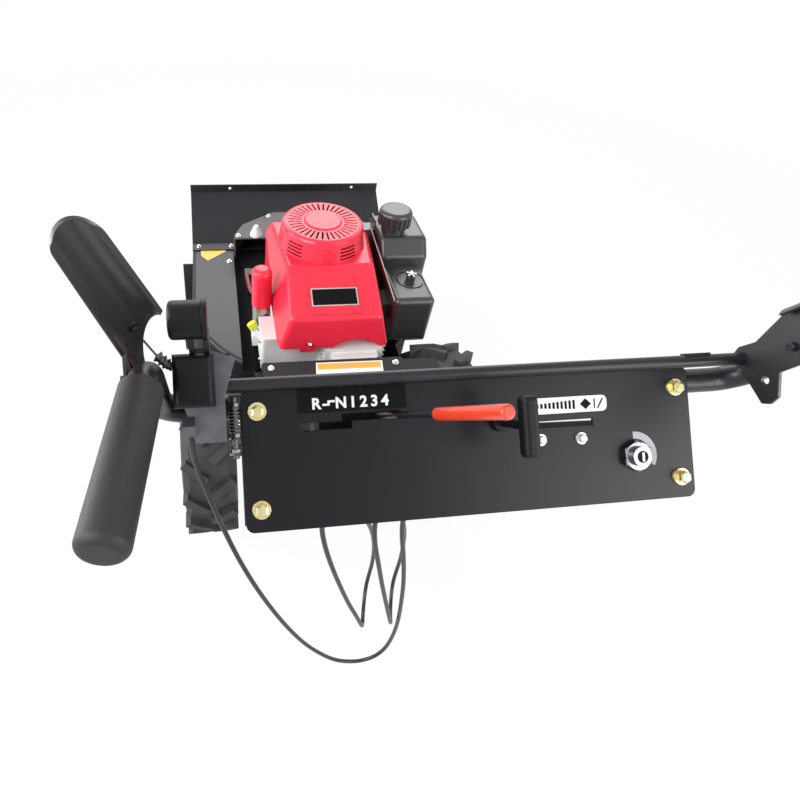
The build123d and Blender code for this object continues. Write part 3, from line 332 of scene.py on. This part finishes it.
# Small pieces, in millimetres over the axle
console_origin = Vector((0, -523, 844.5))
console_tilt = math.radians(46)
console_up = Vector((0, math.sin(console_tilt), math.cos(console_tilt)))
console_out = Vector((0, -math.cos(console_tilt), math.sin(console_tilt)))
across = Vector((1, 0, 0))
rearward = Vector((0, -1, 0))
upward = Vector((0, 0, 1))
over_axle = Matrix.Diagonal((0.001, 0.001, 0.001, 1)) @ Matrix.Translation((0, -middle_y, 0))


def panel(u, v, n):
    """Point across, up and out of the console panel."""
    return console_origin + across * u + console_up * v + console_out * n


def piece(name, mesh, finish, body="chassis"):
    """Add a mesh given over the axle in millimetres, riding on a body."""
    material, slot = finish
    mesh.transform(over_axle)
    made = bpy.data.objects.new(name, mesh)
    scene.collection.objects.link(made)
    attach(made, body)
    dress(made, material)


def stand(spot, axis):
    """Matrix that puts a shape's Z along an axis at a spot."""
    turn = Vector(axis).to_track_quat("Z", "Y").to_matrix().to_4x4()
    return Matrix.Translation(spot) @ turn


def frustum(shape, matrix, low, high, bottom, top, sides):
    """Cone or prism between two heights of its own axis, added to a shape."""
    middle = Matrix.Translation((0, 0, (bottom + top) / 2))
    bmesh.ops.create_cone(shape, cap_ends=True, segments=sides, radius1=low, radius2=high,
                          depth=top - bottom, matrix=matrix @ middle)


def as_mesh(name, shape):
    mesh = bpy.data.meshes.new(name)
    shape.to_mesh(mesh)
    shape.free()
    return mesh


def from_curve(data):
    """Mesh of a curve or a text."""
    loose = bpy.data.objects.new(data.name, data)
    mesh = bpy.data.meshes.new_from_object(loose)
    bpy.data.objects.remove(loose)
    return mesh


def bolts(name, spots, axis, size, finish=bright, body="chassis"):
    """Hexagon heads with a round flange; size is the flange's radius."""
    flange, head, crown = 0.2 * size, 0.72 * size, 0.84 * size
    corner, crown_corner = 0.68 * size, 0.46 * size
    sunk = -0.5
    shape = bmesh.new()
    for spot in spots:
        matrix = stand(spot, axis)
        frustum(shape, matrix, size, 0.9 * size, sunk, flange, 28)
        frustum(shape, matrix, corner, corner, flange, head, 6)
        frustum(shape, matrix, corner, crown_corner, head, crown, 6)
    piece(name, as_mesh(name, shape), finish, body)


def rod(name, start, end, radius, finish, body="chassis", sides=12):
    """Straight round rod between two points."""
    shape = bmesh.new()
    run = Vector(end) - Vector(start)
    frustum(shape, stand(start, run), radius, radius, 0, run.length, sides)
    piece(name, as_mesh(name, shape), finish, body)


def sheet(name, corners, out, thick, finish):
    """Thin plate with a flat outline, raised along a direction."""
    count = len(corners)
    lift = Vector(out) * thick
    points = [Vector(corner) for corner in corners]
    points += [point + lift for point in points]
    faces = [tuple(reversed(range(count))), tuple(range(count, 2 * count))]
    faces += [(i, (i + 1) % count, (i + 1) % count + count, i + count) for i in range(count)]
    mesh = bpy.data.meshes.new(name)
    mesh.from_pydata(points, [], faces)
    piece(name, mesh, finish)


def box_outline(left, right, low, high):
    return [(left, low), (right, low), (right, high), (left, high)]


def on_panel(name, outline, finish, n, thick=0.25):
    """Thin plate on the console panel, at a height over its face."""
    sheet(name, [panel(u, v, n) for u, v in outline], console_out, thick, finish)


def on_level(name, outline, z, thick, finish):
    """Thin plate lying on a level face."""
    sheet(name, [(x, y, z) for x, y in outline], upward, thick, finish)


# Console fittings; labels lie on the panel and print lies on the labels
label_n, print_n, raised_n = 0.05, 0.31, 0.4
thin_print = 0.2
panel_bolt_u, panel_bolt_v = 214.0, 45.5
corner_signs = ((-1, -1), (-1, 1), (1, -1), (1, 1))
panel_bolt_spots = [panel(i * panel_bolt_u, j * panel_bolt_v, 0) for i, j in corner_signs]
bolts("panel_bolts", panel_bolt_spots, console_out, 9.5, yellow)
on_panel("gear_label", box_outline(-176, -70, 41, 66), black_print, label_n)
gear_marks = (("R", -158), ("N", -134), ("1", -122.5), ("2", -112), ("3", -101.5), ("4", -91))
gear_height, gear_foot = 14.5, 44.5
upright_on_panel = Matrix((across, console_up, console_out)).transposed().to_4x4()
for mark, u in gear_marks:
    words = bpy.data.curves.new("mark", "FONT")
    words.body = mark
    words.size = gear_height
    words.align_x = "CENTER"
    words.extrude = 0.15
    words.offset = 0.45
    mesh = from_curve(words)
    mesh.transform(Matrix.Translation(panel(u, gear_foot, raised_n)) @ upright_on_panel)
    piece(f"gear_mark_{mark}", mesh, white_print)
gear_dash = [(-152, 47), (-145, 47), (-145, 50), (-140, 50), (-140, 52), (-147, 52), (-147, 49), (-152, 49)]
on_panel("gear_dash", gear_dash, white_print, raised_n)
throttle_outline = [(56, 26), (134, 26), (137, 28), (138, 31), (138, 38), (136, 41), (133, 42), (56, 42)]
on_panel("throttle_label", throttle_outline, white_print, label_n)
tick_count, tick_start, tick_pitch, tick_width = 10, 62.5, 4.3, 2.3
tick_middle, tick_half, tick_growth = 34, 2.0, 0.28
for i in range(tick_count):
    u = tick_start + tick_pitch * i
    half = tick_half + tick_growth * i
    tick = box_outline(u, u + tick_width, tick_middle - half, tick_middle + half)
    on_panel(f"throttle_tick_{i}", tick, black_print, print_n)
diamond = [(109, 34), (115, 28.5), (121, 34), (115, 39.5)]
on_panel("throttle_spot", diamond, black_print, print_n, thin_print)
on_panel("throttle_bar", box_outline(124, 125.2, 29, 39), black_print, print_n)
slash = [(127, 29), (128.6, 29), (134.6, 39), (133, 39)]
on_panel("throttle_slash", slash, black_print, print_n, thin_print)
bolts("panel_screws", [panel(65, 1, 0), panel(108, 0, 0)], console_out, 6.5)

key_u, key_v, key_face = 165.0, -21.0, 11.05
arc_start, arc_step, arc_count = -28, 10, 13
arc_inner, arc_outer = 17, 24


def around_key(radius, i):
    angle = math.radians(arc_start + arc_step * i)
    return (key_u + radius * math.cos(angle), key_v + radius * math.sin(angle))


key_arc = [around_key(arc_outer, i) for i in range(arc_count)]
key_arc += [around_key(arc_inner, i) for i in reversed(range(arc_count))]
on_panel("key_label", key_arc, grey_print, label_n)
nut_radius, nut_shoulder, nut_height, nut_crown = 16.0, 5.0, 6.2, 14.2
nut = bmesh.new()
nut_stand = stand(panel(key_u, key_v, 0), console_out)
frustum(nut, nut_stand, nut_radius, nut_radius, 0, nut_shoulder, 6)
frustum(nut, nut_stand, nut_radius, nut_crown, nut_shoulder, nut_height, 6)
piece("key_nut", as_mesh("key_nut", nut), silver)
key_eye = bmesh.new()
frustum(key_eye, stand(panel(key_u, key_v, key_face), console_out), 6.0, 5.6, 0, 0.35, 28)
piece("key_eye", as_mesh("key_eye", key_eye), black_print)
plug_half_width, plug_half_height = 1.4, 4.6
key_plug = box_outline(key_u - plug_half_width, key_u + plug_half_width,
                       key_v - plug_half_height, key_v + plug_half_height)
on_panel("key_plug", key_plug, silver, key_face + 0.4, 0.5)

# Hardware around the console
rod_n, rod_top = 7.0, 76.0
rod_tab = box_outline(222, 247, -5, 5)
sheet("rod_tab", [panel(u, rod_top, rod_n + n) for u, n in rod_tab], console_up, 3.0, coated)
stay_u, stay_n = -235.0, 6.0
rod("stay_rod", panel(stay_u, 4, stay_n), panel(stay_u, 60, stay_n), 3.0, dull)
bolts("stay_nuts", [panel(stay_u, v, stay_n) for v in (8, 22, 50)], console_up, 6.5, dull)
coil_turns, coil_steps = 7, 14
coil_radius, coil_foot, coil_length = 4.8, 27, 22
coil_points = coil_turns * coil_steps
coil = bpy.data.curves.new("stay_spring", "CURVE")
coil.dimensions = "3D"
coil.bevel_depth = 0.9
line = coil.splines.new("POLY")
line.points.add(coil_points)
for i, point in enumerate(line.points):
    angle = 2 * math.pi * i / coil_steps
    u = stay_u + coil_radius * math.cos(angle)
    n = stay_n + coil_radius * math.sin(angle)
    point.co = (*panel(u, coil_foot + coil_length * i / coil_points, n), 1)
piece("stay_spring", from_curve(coil), dull)
for level, low in (("low", 6), ("high", 52)):
    lug = [(-229, low), (-229, low + 10), (-240, low + 10), (-240, low)]
    on_panel(f"stay_lug_{level}", lug, coated, -3, 10)
wire_start, wire_end, barrel_end = Vector((-307, -483, 965)), panel(-299, 100, 36), panel(-286, 88, 36)
rod("latch_wire", wire_end, wire_start, 1.0, drawn_wire, sides=8)
rod("latch_barrel", wire_end, barrel_end, 3.0, plated, sides=10)
barrel_run = barrel_end - wire_end
latch_nut_spots = [wire_end + barrel_run * share / 5 for share in (0.4, 1.8, 3.0)]
bolts("latch_nuts", latch_nut_spots, barrel_run, 5.5, plated)
lever_bolts = (("left", (-309.4, -498.9, 992.9), (0.557, -0.785, -0.271)),
               ("right", (301.4, -496.3, 995.3), (-0.185, -0.906, -0.38)))
for hand, spot, axis in lever_bolts:
    bolts(f"lever_bolt_{hand}", [spot], axis, 5.5, coated)

# Deck, guard and covers
sides = (("left", -1), ("right", 1))
deck_top, guard_sheet, cover_top, rear_cover_top = 257.0, 4.0, 330.0, 420.0
on_guard = deck_top + guard_sheet
half_deck_bolts = ((304, 766, on_guard), (198, 766, on_guard), (208, 681, deck_top))
deck_bolts = [(side * x, y, z) for hand, side in sides for x, y, z in half_deck_bolts]
bolts("deck_bolts", deck_bolts, upward, 8.5)
decal = [(-299, 757), (-297, 718), (-276, 690), (-216, 742), (-221, 757)]
on_level("deck_decal", decal, deck_top + 0.05, 0.3, yellow_print)
cover_bolts = [(x, y, cover_top) for x, y in ((-69, 836), (-176, 716), (97, 836), (204, 716))]
bolts("cover_bolts", cover_bolts, upward, 8.0)
rear_label = [(-46, -18), (104, -18), (111, 30), (-39, 32)]
on_level("rear_label", rear_label, rear_cover_top + 0.05, 0.3, white_print)
stripe = [(-39, 10), (104, 9), (107, 27), (-36, 29)]
on_level("rear_stripe", stripe, rear_cover_top + 0.4, 0.2, orange_print)
rear_bolt_x, rear_face_y = 140, -110
rear_top_bolts = [(side * rear_bolt_x, y, rear_cover_top) for hand, side in sides for y in (-92, 22)]
bolts("rear_cover_bolts", rear_top_bolts, upward, 7.5)
rear_face_bolts = [(side * rear_bolt_x, rear_face_y, z) for hand, side in sides for z in (304, 396)]
bolts("rear_face_bolts", rear_face_bolts, rearward, 7.5)
upright_face, web_face, web_bolt_n = 196, 200, -64
for hand, side in sides:
    out = across * side
    foot_bolts = [(side * upright_face, y, z) for y, z in ((-55, 251), (-75, 276))]
    bolts(f"upright_bolts_{hand}", foot_bolts, out, 8.0)
    web_bolts = [panel(side * web_face, v, web_bolt_n) for v in (-15, 3)]
    bolts(f"bracket_bolts_{hand}", web_bolts, out, 7.0)

# Engine fittings
slope_foot = Vector((20, 118, 474))
slope_up = Vector((0, 127, 61)).normalized()
slope_out = Vector((0, -61, 127)).normalized()


def on_slope(name, outline, n, thick, finish):
    """Thin plate on the shroud's sloping rear face."""
    corners = [slope_foot + across * a + slope_up * b + slope_out * n for a, b in outline]
    sheet(name, corners, slope_out, thick, finish)


on_slope("badge_rim", box_outline(-56, 53, 30, 76), 2.5, 1.6, bright)
on_slope("badge_face", box_outline(-53, 50, 33, 73), 4.1, 0.3, black_print)
cowl_spot, cowl_top, cowl_foot = Vector((14, 352, 0)), 588.0, 535.0
bolts("shroud_bolts", [(-40, 108.5, 405), (150, 240, 424)], rearward, 6.0)
base_circle, base_top = 104, 306
base_bolts = []
for angle in (0.6, 2.5, 3.8, 5.6):
    reach = Vector((math.cos(angle), math.sin(angle), 0)) * base_circle
    base_bolts.append(cowl_spot + reach + upward * base_top)
bolts("engine_bolts", base_bolts, upward, 8.0)
head_face, case_face = 87.5, -150
head_bolts = [(x, head_face, z) for x in (26, 114) for z in (322, 358)]
bolts("head_bolts", head_bolts, rearward, 5.5)
case_bolts = [(case_face, y, z) for y, z in ((166, 312), (166, 372), (214, 372))]
bolts("case_bolts", case_bolts, -across, 6.5)
rod("throttle_rod", (146, 392, 550), (170, 176, 470), 2.0, bright)
knob = bmesh.new()
knob_spot, knob_lobes, knob_circle = Vector((226, 248, 492)), 5, 10
frustum(knob, stand(knob_spot, upward), 7.5, 6.5, 0, 8, 20)
for i in range(knob_lobes):
    angle = 2 * math.pi * i / knob_lobes
    lobe = knob_spot + Vector((math.cos(angle), math.sin(angle), 0)) * knob_circle
    frustum(knob, stand(lobe, upward), 4.2, 3.4, 0, 7, 14)
piece("air_knob", as_mesh("air_knob", knob), silver)
drain_radius = 6.0
drain_route = ((-96, 440, 302), (-130, 440, 300), (-152, 458, 297), (-158, 500, 297), (-160, 556, 297))
piece("drain_hose", from_curve(smooth_line("drain_hose", drain_route, drain_radius)), red_hose)

# Painted shade: near-black fillings deep in the recoil cover's slots and louvres, standing in for the shade
# inside them
slot_count, slot_inner, slot_outer, slot_half, slot_depth = 36, 52.3, 84.7, 1.9, 7.0
fill_trim, fill_height, fill_middle = 2.2, 4.4, 2.3
slot_shade = bmesh.new()
fill_spot = Matrix.Translation(((slot_inner + slot_outer) / 2, 0, cowl_top - slot_depth + fill_middle))
fill_size = Matrix.Diagonal((slot_outer - slot_inner - fill_trim, 2 * slot_half, fill_height, 1))
for i in range(slot_count):
    turn = Matrix.Rotation(2 * math.pi * i / slot_count, 4, "Z")
    matrix = Matrix.Translation(cowl_spot) @ turn @ fill_spot @ fill_size
    bmesh.ops.create_cube(slot_shade, matrix=matrix)
piece("recoil_slot_shade", as_mesh("recoil_slot_shade", slot_shade), shadow)
louvre_angles = (-178, -138, -62, -22, 18, 58, 98, 138)
louvre_rows, louvre_foot, louvre_pitch = 4, 5.0, 8.5
louvre_span, louvre_height, louvre_depth, louvre_steps = 24.0, 4.5, 7.0, 6
span_trim, shade_gap, shade_depth = 0.6, 0.1, 4.0
cowl_radius, cowl_rim, cowl_height = 108.0, 96.0, 53.0
shade = bmesh.new()
for start_angle in louvre_angles:
    for row in range(louvre_rows):
        rise = louvre_foot + row * louvre_pitch
        inner = cowl_radius - rise / cowl_height * (cowl_radius - cowl_rim) - louvre_depth
        near, far = inner + shade_gap, inner + shade_depth
        low = cowl_foot + rise + shade_gap
        high = cowl_foot + rise + louvre_height - shade_gap
        ring = []
        for i in range(louvre_steps + 1):
            angle = math.radians(start_angle + (louvre_span - span_trim) * (i / louvre_steps - 0.5))
            out = Vector((math.cos(angle), math.sin(angle), 0))
            for radius, z in ((near, low), (far, low), (far, high), (near, high)):
                ring.append(shade.verts.new(cowl_spot + out * radius + upward * z))
        for i in range(louvre_steps):
            for j in range(4):
                a, b = 4 * i + j, 4 * i + (j + 1) % 4
                shade.faces.new((ring[a], ring[b], ring[b + 4], ring[a + 4]))
        shade.faces.new(ring[3::-1])
        shade.faces.new(ring[-4:])
bmesh.ops.recalc_face_normals(shade, faces=shade.faces)
piece("recoil_shade", as_mesh("recoil_shade", shade), shadow)

# Wheels and blade
axle_z, track_half, hub_reach = 208.0, 282.0, 23.0
lug_count, lug_circle = 4, 46
valve_circle, valve_angle, valve_length, valve_radius = 80, 0.3, 26, 4.5
blade_bolt_spot = (0, 475, 92)
for hand, side in sides:
    body = f"{hand}_wheel"
    out = across * side
    disc = Vector((side * track_half, 0, axle_z))
    bolts(f"{body}_nut", [disc + out * hub_reach], out, 20.0, body=body)
    lugs = []
    for i in range(lug_count):
        angle = 2 * math.pi * (i + 0.5) / lug_count
        lugs.append(disc + Vector((0, math.cos(angle), math.sin(angle))) * lug_circle)
    bolts(f"{body}_lugs", lugs, out, 9.0, body=body)
    valve = disc + Vector((0, math.cos(valve_angle), math.sin(valve_angle))) * valve_circle
    rod(f"{body}_valve", valve, valve + out * valve_length, valve_radius, moulded, body)
bolts("blade_bolt", [blade_bolt_spot], -upward, 17.0, body="blade")

# Floor, backdrop and light
half_floor = 12.0
floor_corners = [(x, y, 0) for x, y in box_outline(-half_floor, half_floor, -half_floor, half_floor)]
floor_mesh = bpy.data.meshes.new("floor")
floor_mesh.from_pydata(floor_corners, [], [(0, 1, 2, 3)])
floor = bpy.data.objects.new("floor", floor_mesh)
scene.collection.objects.link(floor)


def background(tree, low, high):
    """Node whose result is high where a ray from the camera, a mirror or glass looks, and low for light."""
    path = tree.nodes.new("ShaderNodeLightPath")
    total = path.outputs["Is Camera Ray"]
    for kind in ("Is Glossy Ray", "Is Transmission Ray"):
        both = tree.nodes.new("ShaderNodeMath")
        both.operation = "MAXIMUM"
        tree.links.new(total, both.inputs[0])
        tree.links.new(path.outputs[kind], both.inputs[1])
        total = both.outputs[0]
    level = tree.nodes.new("ShaderNodeMapRange")
    level.inputs["To Min"].default_value = low
    level.inputs["To Max"].default_value = high
    tree.links.new(total, level.inputs["Value"])
    return level


# The floor takes a soft shadow near the machine and is plain white farther out
near_glow, far_glow = 0.92, 1.0
near_reach, far_reach = 1.2, 4.0
floor_paint = new_material("floor_paint", roughness=0.8, Base_Color=rgb(236, 236, 236))
tree = floor_paint.node_tree
glow = node(floor_paint, "ShaderNodeEmission", Color=(1, 1, 1, 1), Strength=1.0)
blend = node(floor_paint, "ShaderNodeMixShader")
where = node(floor_paint, "ShaderNodeTexCoord")
reach = node(floor_paint, "ShaderNodeVectorMath")
reach.operation = "LENGTH"
tree.links.new(where.outputs["Object"], reach.inputs[0])
fade = node(floor_paint, "ShaderNodeMapRange", From_Min=near_reach, From_Max=far_reach,
            To_Min=near_glow, To_Max=far_glow)
join(floor_paint, reach, "Value", fade, "Value")
level = background(tree, 0.0, near_glow)
join(floor_paint, fade, "Result", level, "To Max")
join(floor_paint, level, "Result", blend, "Fac")
tree.links.new(tree.nodes["Principled BSDF"].outputs["BSDF"], blend.inputs[1])
tree.links.new(glow.outputs["Emission"], blend.inputs[2])
join(floor_paint, blend, "Shader", tree.nodes["Material Output"], "Surface")
dress(floor, floor_paint)

world = bpy.data.worlds.new("world")
scene.world = world
world.use_nodes = True
sky = world.node_tree.nodes["Background"]
sky.inputs["Color"].default_value = (1, 1, 1, 1)
level = background(world.node_tree, 0.5, 1.0)
world.node_tree.links.new(level.outputs["Result"], sky.inputs["Strength"])


def lamp(name, spot, aim, size, power):
    data = bpy.data.lights.new(name, "AREA")
    data.shape = "RECTANGLE"
    data.size, data.size_y = size
    data.energy = power
    made = bpy.data.objects.new(name, data)
    scene.collection.objects.link(made)
    made.location = spot
    made.rotation_euler = (Vector(aim) - Vector(spot)).to_track_quat("-Z", "Y").to_euler()


lamp("key", (-1.9, -1.2, 2.2), (0, 0, 0.4), (1.6, 1.6), 70)
lamp("fill", (2.1, -2.3, 1.5), (0, 0, 0.6), (2.0, 2.0), 62)
lamp("side", (-2.2, 0.3, 0.9), (0, 0.1, 0.4), (1.2, 1.2), 34)
lamp("back", (0.4, 2.4, 2.1), (0, 0, 0.4), (2.6, 1.4), 50)

scene.view_settings.view_transform = "Standard"
